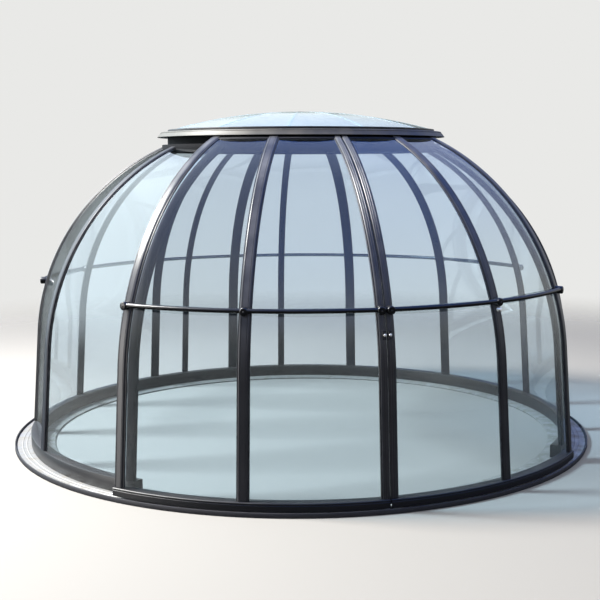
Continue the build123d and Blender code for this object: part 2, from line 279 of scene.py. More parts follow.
def worn_track(name):
    material, tree, point = new_material(name)
    parts = add(tree, "SeparateXYZ", Vector=point).node.outputs
    squares = [times(tree, parts[i], parts[i]) for i in (0, 1)]
    total = add(tree, "Math", n0=squares[0], n1=squares[1])
    radius = add(tree, "Math", operation="SQRT", n0=total)
    around = add(tree, "CombineXYZ", X=radius, Y=0.0, Z=parts[2])
    lines = noise(tree, around, LINE_MM, 3.0)
    dirt = noise(tree, point, DIRT_MM, 6.0, Roughness=0.65)
    bare = ramp(tree, dirt, (0.3, "#a9abad"), (0.52, "#989896"), (0.72, "#7c7871"))
    coated = remap(tree, radius, CURB_FROM, CURB_FROM + 0.001)
    colour = blend(tree, coated, bare, linear("#26262b"))
    worn = remap(tree, dirt, 0.45, 0.7, 0.6, 0.1)
    metal = add(tree, "Math", operation="SUBTRACT", use_clamp=True, n0=worn, n1=coated)
    rough = remap(tree, dirt, 0.3, 0.7, 0.42, 0.8)
    bump = add(tree, "Bump", Strength=0.25, Distance=0.0006, Height=lines)
    finish_material(tree, add(tree, "BsdfPrincipled", Base_Color=colour, Metallic=metal,
                              Roughness=rough, Normal=bump))
    return material


def machined(name, code, roughness, metallic=1.0):
    """Steel or hard plastic with faint scratches."""
    material, tree, point = new_material(name)
    scratch = noise(tree, add(tree, "Mapping", n0=point, n3=(1, 1, 12)), SCRATCH_MM, 5.0)
    rough = remap(tree, scratch, 0, 1, roughness - 0.06, roughness + 0.14)
    bump = add(tree, "Bump", Strength=0.05, Distance=0.0004, Height=scratch)
    finish_material(tree, add(tree, "BsdfPrincipled", Base_Color=linear(code), Metallic=metallic,
                              Roughness=rough, Normal=bump))
    return material


black_rubber = rubber("epdm_rubber_black", "#1a1b1e")
track_metal = worn_track("mill_finish_aluminium_worn")
satin_steel = machined("stainless_steel_satin", "#b9b9b6", 0.3)
# only three quarters metallic on a near-white base: its diffuse white is a painted highlight
# standing in for the glint of polished steel
whitened_steel = machined("stainless_steel_whitened", "#f2f2f0", 0.2, metallic=0.75)
nylon = machined("nylon_black", "#232326", 0.5, metallic=0.0)
print(len(bpy.data.materials), "materials")

# %% [markdown]
# The dome's curve is the same as in the CAD model: a leg that leans in a little and then one arc.
# A rib, a gasket or a pane is a cross-section carried along that curve in the upright plane of its
# bearing.  Bearings are degrees from the front, positive toward +X.

# %% The dome's curve
FOOT, SPRING, ARC = 2.032, 0.771, 1.622
LEAN = radians(4.1)
PANE, PROUD, BACK = 0.006, 0.006, 0.018     # pane thickness; how far ribs stand out and reach in
DOOR_HALF, FIXED_HALF = radians(23.9 / 2), radians(28.9 / 2)
SLIDE = 0.007       # clearance between a door and what it slides past
SAGITTA = FOOT * (1 - cos(DOOR_HALF))
STEP = SAGITTA + PANE + SLIDE + PROUD
MIDDLE_R = FOOT - SPRING * tan(LEAN) - ARC * cos(LEAN)
MIDDLE_Z = SPRING - ARC * sin(LEAN)
HUB_OUTER, HUB_WIDTH = 1.000, 0.055
TOP_CLEAR, RAIL_WIDE = 0.045, 0.028         # the doors end outside the hub, in a top rail
DOOR_TOP_R = HUB_OUTER + TOP_CLEAR
RAIL_END = acos((DOOR_TOP_R - MIDDLE_R) / ARC) + RAIL_WIDE / ARC
DOOR_LOW, FIXED_LOW = 0.076, 0.104
DOOR_SEAM, FIXED_SEAM = 1.149, 1.136
MEETING = 14.2
LEFT_BAYS, RIGHT_BAYS = (22.7, 23.9), (23.2, 23.1)
LEFT_EDGE, RIGHT_EDGE = MEETING - sum(LEFT_BAYS), MEETING + sum(RIGHT_BAYS)
FIXED_BAYS = (28.9, 25.7, 26, 26.2, 9.1, 13.6, 13.3, 19.1, 27.4, 28.7, 24.6, 24.4)
SLIM_PLACES = (5, 7)
BACK_BAR = (2, 10)      # the fixed ribs at which the back bar ends
BAR_NODE_FROM = 4       # the CAD's bar begins at this rib, and the scene adds two bays before it
DOOR_RIB, FIXED_RIB, MEETING_RIB, SLIM_RIB = 0.060, 0.068, 0.040, 0.040
MEETING_GAP = 0.008
MEETING_SHIFT = (MEETING_RIB + MEETING_GAP) / 2
ARC_STEP, LEG_STEPS = radians(1.4), 5       # how finely the curve is drawn
UP = Vector((0, 0, 1))


def outward(bearing):
    return Vector((sin(radians(bearing)), -cos(radians(bearing)), 0))


def sideways(bearing):
    return Vector((cos(radians(bearing)), sin(radians(bearing)), 0))


def angle_at_height(height, offset):
    return asin((height - MIDDLE_Z) / (ARC + offset))


def angle_at_radius(radius, offset):
    return acos((radius - MIDDLE_R) / (ARC + offset))


def arc_point(angle, offset):
    return MIDDLE_R + (ARC + offset) * cos(angle), MIDDLE_Z + (ARC + offset) * sin(angle)


def curve(offset, low, top):
    """Points (radius, height, slope) from a height up to an angle of the arc."""
    start, points = LEAN, []
    spring_z = arc_point(LEAN, offset)[1]
    if low < spring_z:
        for i in range(LEG_STEPS):
            z = low + (spring_z - low) * i / LEG_STEPS
            points.append((FOOT + offset / cos(LEAN) - z * tan(LEAN), z, LEAN))
    else:
        start = angle_at_height(low, offset)
    count = max(1, ceil((top - start) / ARC_STEP))
    for i in range(count + 1):
        angle = start + (top - start) * i / count
        points.append((*arc_point(angle, offset), angle))
    return points


def door_top(offset):
    return angle_at_radius(DOOR_TOP_R, 0)


def rail_top(offset):
    return RAIL_END


def hub_top(offset):
    return angle_at_radius(HUB_OUTER, offset)


print("shell step", round(STEP * 1000, 1), "mm")
print("arc centre", round(MIDDLE_R, 3), round(MIDDLE_Z, 3))

# %% [markdown]
# Every shape here is a loft: rings of points joined by quads and closed at both ends.  A shape can
# hold several lofts.  Four ways of making rings are enough for the whole dome: carry a section
# along the curve, turn an outline round the dome's axis, spin an outline round any axis, and press
# a rounded block.

# %% Lofts
TIP = 0.0001        # radius at which a spun outline closes
SMOOTH_UNDER = radians(32)


def circle(sides):
    """Angles of equal steps round a circle."""
    return [2 * pi * k / sides for k in range(sides)]


def both_ways(half):
    """Outline followed by its mirror image."""
    return half + [(-u, v) for u, v in reversed(half)]


def box(left, right, low, high):
    return [(left, low), (right, low), (right, high), (left, high)]


class Shape:
    """Points and faces of one piece, made of lofts."""

    def __init__(self):
        self.points, self.faces = [], []

    def loft(self, rings, loop=False):
        base, n, m = len(self.points), len(rings[0]), len(rings)
        for ring in rings:
            self.points += [Vector(p) for p in ring]
        for i in range(m if loop else m - 1):
            here, there = base + i * n, base + (i + 1) % m * n
            for k in range(n):
                after = (k + 1) % n
                self.faces.append((here + k, here + after, there + after, there + k))
        if not loop:
            self.faces.append(tuple(base + k for k in reversed(range(n))))
            self.faces.append(tuple(base + (m - 1) * n + k for k in range(n)))
        return self

    def carried(self, section, path, bearing, shift=0.0, drop=0.0):
        """Section (across, out) carried along the dome's curve at a bearing."""
        across, out = sideways(bearing), outward(bearing)
        rings = []
        for radius, height, slope in path:
            origin = out * (radius - drop) + across * shift + UP * height
            normal = out * cos(slope) + UP * sin(slope)
            rings.append([origin + across * u + normal * v for u, v in section])
        return self.loft(rings)

    def turned(self, outline, start, sweep, step=1.0):
        """Outline (radius, height) turned round the dome's axis."""
        loop = sweep >= 360
        count = max(2, ceil(sweep / step))
        bearings = [start + sweep * i / count for i in range(count if loop else count + 1)]
        return self.loft([[outward(b) * r + UP * z for r, z in outline] for b in bearings],
                         loop=loop)

    def spun(self, outline, origin, axis, sides):
        """Outline (along, radius) spun round an axis through a point."""
        axis = axis.normalized()
        first = axis.orthogonal().normalized()
        second = axis.cross(first)
        return self.loft([[origin + axis * a + (first * cos(t) + second * sin(t)) * r
                           for t in circle(sides)] for a, r in outline])

    def block(self, origin, across, out, width, height, depth, corner, soften):
        """Block with rounded corners that stands out from a face."""
        across, out = across.normalized(), out.normalized()
        along = out.cross(across)

        def ring(inset, level):
            w, h, c = width / 2 - inset, height / 2 - inset, corner - inset
            points = []
            for q in range(4):
                for k in range(4):
                    t = (q + k / 3) * pi / 2
                    x = (w - c) * (1 if q in (0, 3) else -1) + c * cos(t)
                    y = (h - c) * (1 if q in (0, 1) else -1) + c * sin(t)
                    points.append(origin + across * x + along * y + out * level)
            return points
        return self.loft([ring(0, 0), ring(0, depth - soften), ring(soften, depth)])


def piece(name, shape, material, body, *nodes, slot="dark_frame"):
    """Turn a shape into an object that rides on a body and stands for CAD nodes."""
    mesh = bpy.data.meshes.new(name)
    mesh.from_pydata(shape.points, [], shape.faces)
    tidy = bmesh.new()
    tidy.from_mesh(mesh)
    bmesh.ops.recalc_face_normals(tidy, faces=tidy.faces)
    tidy.to_mesh(mesh)
    tidy.free()
    mesh.shade_smooth()
    mesh.set_sharp_from_angle(angle=SMOOTH_UNDER)
    mesh.materials.append(material)
    made = bpy.data.objects.new(name, mesh)
    bpy.context.scene.collection.objects.link(made)
    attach(made, body)
    if nodes:
        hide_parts(*nodes)
    print(name, len(mesh.polygons), "faces")


# %% [markdown]
# Where the ribs stand.  Each place is a bearing, a width and a sideways shift.  The two meeting
# ribs stand side by side on planes either side of the meeting line.

# %% Places of the ribs
fixed_bearings = [LEFT_EDGE + 1]
for bay in FIXED_BAYS:
    fixed_bearings.append(fixed_bearings[-1] - bay)
fixed_places = [(bearing, SLIM_RIB if i in SLIM_PLACES else FIXED_RIB, 0.0)
                for i, bearing in enumerate(fixed_bearings)]
door_places = {
    "left": [(LEFT_EDGE, DOOR_RIB, 0.0), (LEFT_EDGE + LEFT_BAYS[0], DOOR_RIB, 0.0),
             (MEETING, MEETING_RIB, -MEETING_SHIFT)],
    "right": [(MEETING, MEETING_RIB, MEETING_SHIFT), (MEETING + RIGHT_BAYS[0], DOOR_RIB, 0.0),
              (RIGHT_EDGE, DOOR_RIB, 0.0)]}
door_names = {"left": ("trailing", "middle", "meeting"),
              "right": ("meeting", "middle", "trailing")}
print(len(fixed_places), "fixed ribs,", sum(map(len, door_places.values())), "door ribs")

# %% [markdown]
# A rib is an extruded aluminium bar, bent to the dome.  Its outer face has sloped edges and a
# shallow groove near each side, which catch thin lines of light.  Rubber gaskets run along both
# sides and grip the edges of the panes.

# %% Ribs and gaskets
CORNER = ((0, 0.0050), (0.0032, 0.0015), (0.0066, 0))      # sideways and down from a square corner
GROOVE_IN, GROOVE = 0.013, 0.0018
BEVEL = 0.0022
GASKET = ((0, -0.0105), (0.007, -0.0105), (0.008, -0.009), (0.008, 0.0005), (0.006, 0.0035),
          (0, 0.0035))      # sideways from a rib, and out


def rib_section(width):
    half, g = width / 2, width / 2 - GROOVE_IN
    outer = [(along - half, PROUD - down) for along, down in CORNER]
    outer += [(-g - GROOVE, PROUD), (-g, PROUD - GROOVE), (-g + GROOVE, PROUD)]
    return both_ways(outer) + both_ways([(half, BEVEL - BACK), (half - BEVEL, -BACK)])


def rib(place, face, low, top, name, body, node, coat=anthracite):
    bearing, width, shift = place
    shape = Shape().carried(rib_section(width), curve(face, low, top(face)), bearing, shift)
    piece(name, shape, coat, body, node)


def gaskets(shape, places, face, low, top):
    """Gaskets along both sides of every bay between neighbouring places."""
    path = curve(face, low, top(face))
    for one, other in zip(places, places[1:]):
        half_bay = radians(abs(other[0] - one[0]) / 2)
        for (bearing, width, shift), side in ((one, 1), (other, -1)):
            section = [((width / 2 + u) * side, v) for u, v in GASKET]
            shape.carried(section, path, bearing, shift,
                          drop=(width / 2 + side * shift) * tan(half_bay))


number = 0
slim = Shape()
for i, place in enumerate(fixed_places):
    if i in SLIM_PLACES:
        slim.carried(rib_section(place[1]), curve(-STEP, FIXED_LOW, hub_top(-STEP)), place[0])
        continue
    number += 1
    # the two fixed ribs behind the doors' trailing ribs take a nearly black coat as painted shade
    under_a_door = i in (0, len(FIXED_BAYS))
    rib(place, -STEP, FIXED_LOW, hub_top, f"fixed_rib_{number:02d}_bent_bar", "fixed_shell",
        f"fixed_rib_{number:02d}", shaded_edge_rib_coat if under_a_door else sky_blue_shell_coat)
piece("slim_glazing_bars_bent", slim, sky_blue_shell_coat, "fixed_shell", "slim_glazing_bars")
fixed_gaskets = Shape()
gaskets(fixed_gaskets, fixed_places[::-1], -STEP, FIXED_LOW, hub_top)
piece("fixed_gaskets", fixed_gaskets, black_rubber, "fixed_shell")
for side, places in door_places.items():
    for place, name in zip(places, door_names[side]):
        rib(place, 0.0, DOOR_LOW, rail_top, f"{side}_door_{name}_bent_bar", f"{side}_door",
            f"{side}_door_{name}_rib")
    strips = Shape()
    gaskets(strips, places, 0.0, DOOR_LOW, door_top)
    piece(f"{side}_door_gaskets", strips, black_rubber, f"{side}_door")

# %% [markdown]
# A pane is flat across its bay and bent along the ribs.  At each height its outer face is a
# straight line between the two rib sides, so its distance from the axis is the curve's radius
# times the cosine of half the bay.  Where a grab bar crosses a bay it hides the seam between a
# lower and an upper pane, which a clear strip joins.

# %% Panes
SEAM, STRIP_HIGH, STRIP_PROUD = 0.001, 0.006, 0.0015
FIXED_RUNS = ("left", "back_left", "back_right", "right")      # each is three bays long


def middle_of(first, last):
    """Bearing of the middle of a bay, and half its angle."""
    return (first[0] + last[0]) / 2, radians((last[0] - first[0]) / 2)


def across_bay(bearing, half_bay, radius, height, first, last):
    """The two points where a level line across a bay meets the sides of its ribs."""
    reach = radius * cos(half_bay)
    left = reach * tan(half_bay) - (first[1] / 2 + first[2]) / cos(half_bay)
    rest = reach * tan(half_bay) - (last[1] / 2 - last[2]) / cos(half_bay)
    origin = outward(bearing) * reach + UP * height
    return origin - sideways(bearing) * left, origin + sideways(bearing) * rest


def pane(shape, first, last, face, low, top):
    """One bent sheet between two neighbouring ribs."""
    bearing, half_bay = middle_of(first, last)
    rings = []
    for (r0, z0, _), (r1, z1, _) in zip(curve(face, low, top), curve(face - PANE, low, top)):
        a, b = across_bay(bearing, half_bay, r0, z0, first, last)
        c, d = across_bay(bearing, half_bay, r1, z1, first, last)
        rings.append([a, b, d, c])
    shape.loft(rings)


def joint_strip(shape, first, last, face, seam):
    """Strip that grips the two panes of a bay at their seam."""
    bearing, half_bay = middle_of(first, last)
    angle = angle_at_height(seam, face)
    normal = outward(bearing) * cos(angle) + UP * sin(angle)
    rise = UP * cos(angle) - outward(bearing) * sin(angle)
    ends = across_bay(bearing, half_bay, arc_point(angle, face)[0], seam, first, last)
    section = box(-STRIP_HIGH, STRIP_HIGH, STRIP_PROUD, -PANE - STRIP_PROUD)
    shape.loft([[end + rise * u + normal * v for u, v in section] for end in ends])


def bay_panes(shape, strips, places, face, low, seam, top, barred=lambda bearing: True):
    """Lower and upper pane of each bay, or one sheet where no bar hides a seam."""
    for first, last in zip(places, places[1:]):
        if not barred(middle_of(first, last)[0]):
            pane(shape, first, last, face, low, top(face))
            continue
        pane(shape, first, last, face, low, angle_at_height(seam - SEAM, face))
        pane(shape, first, last, face, seam + SEAM, top(face))
        joint_strip(strips, first, last, face, seam)


fixed_strips = Shape()
for run, side in enumerate(FIXED_RUNS):
    shape = Shape()
    places = fixed_places[3 * run:3 * run + 4][::-1]
    bay_panes(shape, fixed_strips, places, -STEP, FIXED_LOW, FIXED_SEAM, hub_top,
              lambda bearing: fixed_bearings[BACK_BAR[1]] < bearing < fixed_bearings[BACK_BAR[0]])
    piece(f"{side}_panes_bent", shape, pane_sheet, "fixed_shell", f"{side}_panes",
          slot="clear_panes")
piece("fixed_pane_strips", fixed_strips, strip_sheet, "fixed_shell", slot="clear_panes")
for side, places in door_places.items():
    shape, strips = Shape(), Shape()
    bay_panes(shape, strips, places, 0.0, DOOR_LOW, DOOR_SEAM, door_top)
    piece(f"{side}_door_panes_bent", shape, pane_sheet, f"{side}_door", f"{side}_door_panes",
          slot="clear_panes")
    piece(f"{side}_door_pane_strips", strips, strip_sheet, f"{side}_door", slot="clear_panes")

# %% [markdown]
# The rings.  Each door stands on a hollow sill that hides its wheels, and is closed by a top rail.
# The fixed shell stands on sills of its own.  All of them run round the dome's axis, so an outline
# with softened corners is turned through the right bearings.

# %% Sills and top rails
RAIL_PROUD = 0.001      # the ribs pass over the top rail, which stands out less than PROUD
TRACK_HIGH, SILL_WALL = 0.016, 0.004
SILL_IN, SILL_OUT, SILL_LIFT = 0.012, 0.013, 0.010     # beyond the panes, and above the track
DOOR_SILL = (FOOT - SAGITTA - PANE - SILL_IN, FOOT + SILL_OUT)
FIXED_SILL = ((FOOT - STEP) * cos(FIXED_HALF) - PANE - SILL_IN, DOOR_SILL[0] - SLIDE)
SILL_CUT = 0.003        # at a door sill's upper edges, and half the width of its groove
SILL_GROOVE, SILL_GROOVE_DEEP = 0.013, 0.0016          # down from the top, and in
ROUND, FIXED_SILL_ROUND = 0.0025, 0.004
LONGEST_CUT, BULGE = 0.4, 0.4   # share of an edge, and of the way from the cut to the corner


def softened(corners, radius=ROUND):
    """Outline whose corners are cut by two short edges each."""
    points = []
    for i, corner in enumerate(corners):
        here = Vector(corner)
        before = Vector(corners[i - 1]) - here
        after = Vector(corners[(i + 1) % len(corners)]) - here
        cut = min(radius, before.length * LONGEST_CUT, after.length * LONGEST_CUT)
        first, last = here + before.normalized() * cut, here + after.normalized() * cut
        points += [first, (first + last) / 2 * (1 - BULGE) + here * BULGE, last]
    return [(p.x, p.y) for p in points]


def door_edges(places, radius):
    """Bearings of a door's two sides at a radius."""
    first, last = places[0], places[-1]
    return (first[0] + degrees(asin((first[2] - first[1] / 2) / radius)),
            last[0] + degrees(asin((last[2] + last[1] / 2) / radius)))


def groove(radius, height, deep, half):
    """Four points of a groove in an upright outer face."""
    return [(radius, height - half), (radius - deep, height - half * 0.4),
            (radius - deep, height + half * 0.4), (radius, height + half)]


inner, outer = DOOR_SILL
low, high = TRACK_HIGH + SILL_LIFT, DOOR_LOW - SILL_WALL
sill = [(inner, low), (inner + SILL_WALL, low), (inner + SILL_WALL, high),
        (outer - SILL_WALL, high), (outer - SILL_WALL, low), (outer, low),
        *groove(outer, DOOR_LOW - SILL_GROOVE, SILL_GROOVE_DEEP, SILL_CUT),
        (outer, DOOR_LOW - SILL_CUT), (outer - SILL_CUT, DOOR_LOW),
        (inner + SILL_CUT, DOOR_LOW), (inner, DOOR_LOW - SILL_CUT)]
low, high = door_top(0), RAIL_END
rail = softened([arc_point(low, -BACK), arc_point(low, RAIL_PROUD), arc_point(high, RAIL_PROUD),
                 arc_point(high, -BACK)])
for side, places in door_places.items():
    first, last = door_edges(places, DOOR_SILL[0])
    piece(f"{side}_door_sill_extrusion", Shape().turned(sill, first, last - first), rail_coat,
          f"{side}_door", f"{side}_door_sill")
    first, last = door_edges(places, arc_point(RAIL_END, -BACK)[0])
    piece(f"{side}_door_top_rail_extrusion", Shape().turned(rail, first, last - first, step=0.8),
          rail_coat, f"{side}_door", f"{side}_door_top_rail")

edge_reach = degrees(FIXED_RIB / 2 / FIXED_SILL[0])
sill = softened(box(*FIXED_SILL, TRACK_HIGH, FIXED_LOW), FIXED_SILL_ROUND)
for run, side in enumerate(FIXED_RUNS):
    start, finish = fixed_bearings[3 * run + 3], fixed_bearings[3 * run]
    start -= edge_reach if side == "right" else 0
    finish += edge_reach if side == "left" else 0
    piece(f"{side}_sill_extrusion", Shape().turned(sill, start, finish - start), rail_coat,
          "fixed_shell", f"{side}_sill")

# %% [markdown]
# The floor track is a flat aluminium ring in four quarters.  It has an upstanding curb on the
# outside, two low beads that guide the wheels and a line of screws along its inner edge.

# %% Floor track
TRACK_INNER = FIXED_SILL[0] - 0.092
CURB_INNER = DOOR_SILL[1] + 0.020       # the doors turn just inside the curb
TRACK_OUTER, CURB_HIGH = CURB_INNER + 0.010, 0.030
TRACK_ROUND, CURB_CUT = 0.0035, 0.003
EDGE_IN, EDGE_DOWN = 0.010, 0.006       # slope of the inner edge
WHEEL_LINE = sum(DOOR_SILL) / 2
BEAD, BEAD_HALF, BEAD_OUT = 0.002, 0.0025, 0.0145
JOINT = 0.03        # half of the gap between two quarters, in degrees
SCREW_STEP, SCREW_IN = 9.0, 0.034       # degrees from screw to screw, and metres from the edge


def screw_head(shape, origin, axis, radius, high):
    """Round head with a socket."""
    shape.spun([(0, radius), (high * 0.5, radius * 0.95), (high, radius * 0.62),
                (high, radius * 0.36), (high * 0.35, radius * 0.36), (high * 0.35, TIP)],
               origin, axis, sides=14)


track = softened([(TRACK_INNER, 0), (TRACK_OUTER, 0), (TRACK_OUTER, CURB_HIGH),
                  (CURB_INNER, CURB_HIGH)], TRACK_ROUND)[:-3]
track += [(CURB_INNER + CURB_CUT, CURB_HIGH), (CURB_INNER, CURB_HIGH - CURB_CUT),
          (CURB_INNER, TRACK_HIGH)]
for line in (WHEEL_LINE + BEAD_OUT, WHEEL_LINE - BEAD_OUT):
    track += [(line + 2 * BEAD_HALF, TRACK_HIGH), (line + BEAD_HALF, TRACK_HIGH + BEAD),
              (line - BEAD_HALF, TRACK_HIGH + BEAD), (line - 2 * BEAD_HALF, TRACK_HIGH)]
track += [(TRACK_INNER + EDGE_IN, TRACK_HIGH), (TRACK_INNER, TRACK_HIGH - EDGE_DOWN)]
track_screws = Shape()
for quarter, side in enumerate(("front", "right", "back", "left")):
    start = (quarter - 0.5) * 90 + JOINT
    piece(f"{side}_track_extrusion", Shape().turned(track, start, 90 - 2 * JOINT), track_metal,
          "fixed_shell", f"{side}_track", slot="track_aluminium")
    for k in range(round(90 / SCREW_STEP)):
        bearing = start + SCREW_STEP * (k + 0.5)
        origin = outward(bearing) * (TRACK_INNER + SCREW_IN) + UP * TRACK_HIGH
        screw_head(track_screws, origin, UP, radius=0.006, high=0.0016)
piece("track_screws", track_screws, satin_steel, "fixed_shell", slot="track_aluminium")

# %% [markdown]
# The crown.  The hub ring ties the tops of the fixed ribs, and two hexagon bolts hold each of them
# from inside.  Its neck carries the fascia, whose sloping lip sheds rain over the tops of the
# doors.

# %% Hub ring and fascia
HUB_INNER = HUB_OUTER - HUB_WIDTH
HUB_LAP = 0.014         # the hub ring reaches this far below the panes and above the ribs
NECK = 0.015
foot_angle = angle_at_radius(HUB_OUTER / cos(FIXED_HALF), -STEP - PANE)
hub_low = arc_point(foot_angle, -STEP - PANE)[1] - HUB_LAP
hub_high = arc_point(hub_top(PROUD - STEP), PROUD - STEP)[1] + HUB_LAP
RAIL_R, RAIL_Z = arc_point(RAIL_END, PROUD)
FASCIA_LOW = RAIL_Z + 0.008     # clear of the doors' tops
FASCIA_HIGH = FASCIA_LOW + 0.036
SEAT = FASCIA_HIGH - 0.016      # where the fascia sits on the neck
LIP_R = RAIL_R + 0.010          # the lip reaches past the doors' tops
CROWN_R = LIP_R - 0.026         # upper edge of the lip's slope
LIP = 0.012
CAP_R = CROWN_R - 0.052
CROWN_INNER = CAP_R - 0.024
FASCIA_SCREWS = 24
WASHER = 0.0012


def hex_head(shape, origin, axis, radius, high):
    """Washer under a hexagon head."""
    brim = radius * 1.45
    shape.spun([(0, brim), (WASHER, brim), (WASHER, TIP)], origin, axis, sides=18)
    shape.spun([(WASHER, radius), (high, radius), (high + 0.0008, radius * 0.84),
                (high + 0.0008, TIP)], origin, axis, sides=6)


hub = [(HUB_INNER, hub_low), (HUB_OUTER, hub_low), (HUB_OUTER, hub_high),
       (HUB_INNER + NECK, hub_high), (HUB_INNER + NECK, SEAT), (HUB_INNER, SEAT)]
# the hub ring, in the recess under the fascia, is coated nearly black as painted shade
piece("hub_ring_rolled", Shape().turned(softened(hub), 0, 360), shaded_hub_black, "fixed_shell",
      "hub_ring")
bolts = Shape()
for bearing in fixed_bearings:
    for share in (0.35, 0.65):
        origin = outward(bearing) * HUB_INNER + UP * (hub_low + (hub_high - hub_low) * share)
        hex_head(bolts, origin, -outward(bearing), radius=0.0055, high=0.0045)
piece("hub_bolts", bolts, bar_coat, "fixed_shell")

slope_r, slope_z = CROWN_R - LIP_R, FASCIA_HIGH - FASCIA_LOW
fascia = [(CROWN_INNER, SEAT), (CROWN_R - LIP, SEAT), (LIP_R - LIP, FASCIA_LOW),
          (LIP_R - 0.002, FASCIA_LOW - 0.002), (LIP_R + 0.001, FASCIA_LOW)]
fascia += [(LIP_R + slope_r * share - deep, FASCIA_LOW + slope_z * share)
           for share, deep in ((0.12, 0), (0.66, 0), (0.69, 0.003), (0.77, 0.003), (0.80, 0))]
fascia += softened([(LIP_R, FASCIA_LOW), (CROWN_R, FASCIA_HIGH), (CROWN_INNER, FASCIA_HIGH)])[3:]
piece("fascia_ring_rolled", Shape().turned(fascia, 0, 360), ring_coat, "fixed_shell",
      "fascia_ring")
screws = Shape()
for k in range(FASCIA_SCREWS):
    bearing = 360 / FASCIA_SCREWS * (k + 0.5)
    origin = outward(bearing) * (CAP_R + CROWN_R) / 2 + UP * FASCIA_HIGH
    screw_head(screws, origin, UP, radius=0.006, high=0.003)
piece("fascia_screws", screws, bar_coat, "fixed_shell")

# %% [markdown]
# The cap.  Twelve bent sheets meet under a flat boss, and a strip covers each joint between them.
# A trim ring carries their outer edges, which a rubber seal closes.

# %% Cap
CAP_SEAT, CAP_RISE, WEDGE, CAP_SEAM = FASCIA_HIGH + 0.008, 0.132, 30, -5
SPHERE = (CAP_R ** 2 + CAP_RISE ** 2) / 2 / CAP_RISE
SPHERE_LOW = CAP_SEAT + CAP_RISE - SPHERE
BOSS_R = 0.062
CAP_STEPS = 14
STRIP_HALF, STRIP_END = 0.011, 0.004        # the strips stop short of the sheets at both ends
RIDGE = [(-STRIP_HALF, -0.006), (STRIP_HALF, -0.006), (STRIP_HALF, 0.0006), (0.003, 0.0016),
         (-0.003, 0.0016), (-STRIP_HALF, 0.0006)]
BOSS = [(0, TIP), (0, BOSS_R - 0.002), (0.0035, BOSS_R), (PANE, BOSS_R - 0.003),
        (PANE + 0.003, BOSS_R * 0.5), (PANE + 0.004, TIP)]


def cap_height(radius):
    return SPHERE_LOW + sqrt(SPHERE ** 2 - radius ** 2)


def cap_radii(inner, outer):
    return [inner + (outer - inner) * i / CAP_STEPS for i in range(CAP_STEPS + 1)]


wedges, strips = Shape(), Shape()
for k in range(360 // WEDGE):
    bearing, half = CAP_SEAM + (k + 0.5) * WEDGE, radians(WEDGE / 2)
    sides = [(bearing + turn, 2 * SEAM, 0) for turn in (-WEDGE / 2, WEDGE / 2)]
    rings = []
    for radius in cap_radii(BOSS_R, CAP_R):
        ends = across_bay(bearing, half, radius, cap_height(radius), *sides)
        rings.append([*ends, ends[1] + UP * PANE, ends[0] + UP * PANE])
    wedges.loft(rings)
    path = [(radius, cap_height(radius) + PANE, acos(radius / SPHERE))
            for radius in cap_radii(BOSS_R + STRIP_END, CAP_R - STRIP_END)]
    strips.carried(RIDGE, path, bearing + WEDGE / 2)
piece("cap_glazing_bent", wedges, cap_sheet, "fixed_shell", "cap_glazing", slot="cap_glass")
piece("cap_joint_strips", strips, cap_sheet, "fixed_shell", slot="cap_glass")

trim = Shape().turned(softened(box(CROWN_INNER, CAP_R, FASCIA_HIGH, CAP_SEAT)), 0, 360)
trim.spun(BOSS, UP * (CAP_SEAT + CAP_RISE), UP, sides=48)
piece("cap_trim_rolled", trim, bar_coat, "fixed_shell", "cap_trim")
seal = box(CAP_R - 0.003, CAP_R + 0.004, CAP_SEAT - 0.004, CAP_SEAT + PANE + 0.003)
piece("cap_edge_seal", Shape().turned(softened(seal, 0.002), 0, 360), black_rubber, "fixed_shell")

# %% [markdown]
# Grab bars.  A round steel tube runs round the outside of each door, and another follows the back
# of the fixed shell.  A round clamp holds it at every rib and closes its free ends.

# %% Grab bars
BAR, STANDOFF, GAP = 0.014, 0.010, 0.0003
CLAMP, CLAMP_DROP, CLAMP_FRONT = 0.025, 0.004, 0.004
CLAMP_EDGE = ((0, 0.006), (0.0012, 0.003), (0.0036, 0.0008), (0.007, 0))     # in, and back


def bar_radius(seam, face):
    return arc_point(angle_at_height(seam, face + PROUD), face + PROUD)[0] + STANDOFF + BAR


def clamp(shape, screws, seam, face, place):
    """Round clamp that stands on a rib's sloping face, with a socket screw in its front."""
    bearing, width, shift = place
    height = seam - CLAMP_DROP
    slope = angle_at_height(height, face + PROUD)
    reach = arc_point(slope, face + PROUD)[0] + GAP
    deep = bar_radius(seam, face) + BAR + CLAMP_FRONT - reach
    beyond = copysign(max(CLAMP - width / 2, 0), shift)
    across, out = sideways(bearing), outward(bearing)
    seat = out * reach + across * (shift + beyond) + UP * height

    def ring(radius, level=None):
        """Ring at a depth, or one that lies on the rib's sloping face."""
        return [seat + across * radius * cos(t) + UP * radius * sin(t) +
                out * (-radius * sin(t) * tan(slope) if level is None else level)
                for t in circle(32)]
    shape.loft([ring(CLAMP), *(ring(CLAMP - inset, deep - back) for inset, back in CLAMP_EDGE),
                ring(TIP, deep)])
    screw_head(screws, seat + out * deep, out, radius=0.0055, high=0.0028)


def bar_set(name, body, seam, face, places, start, finish, *nodes):
    """Tube, clamps and screws of one bar."""
    middle = bar_radius(seam, face)
    section = [(middle + BAR * cos(t), seam + BAR * sin(t)) for t in circle(20)]
    clamps, screws = Shape(), Shape()
    for place in places:
        clamp(clamps, screws, seam, face, place)
    piece(f"{name}_tube", Shape().turned(section, start, finish - start), bar_coat, body, *nodes)
    piece(f"{name}_clamps", clamps, bar_coat, body)
    piece(f"{name}_screws", screws, nylon, body)


def back_bar_set(name, first, last, clamped, *nodes):
    """Back bar from one fixed rib to another, with clamps on the wide ribs among some."""
    wide = [fixed_places[i] for i in clamped if i not in SLIM_PLACES]
    bar_set(name, "fixed_shell", FIXED_SEAM, -STEP, wide, fixed_bearings[last],
            fixed_bearings[first], *nodes)


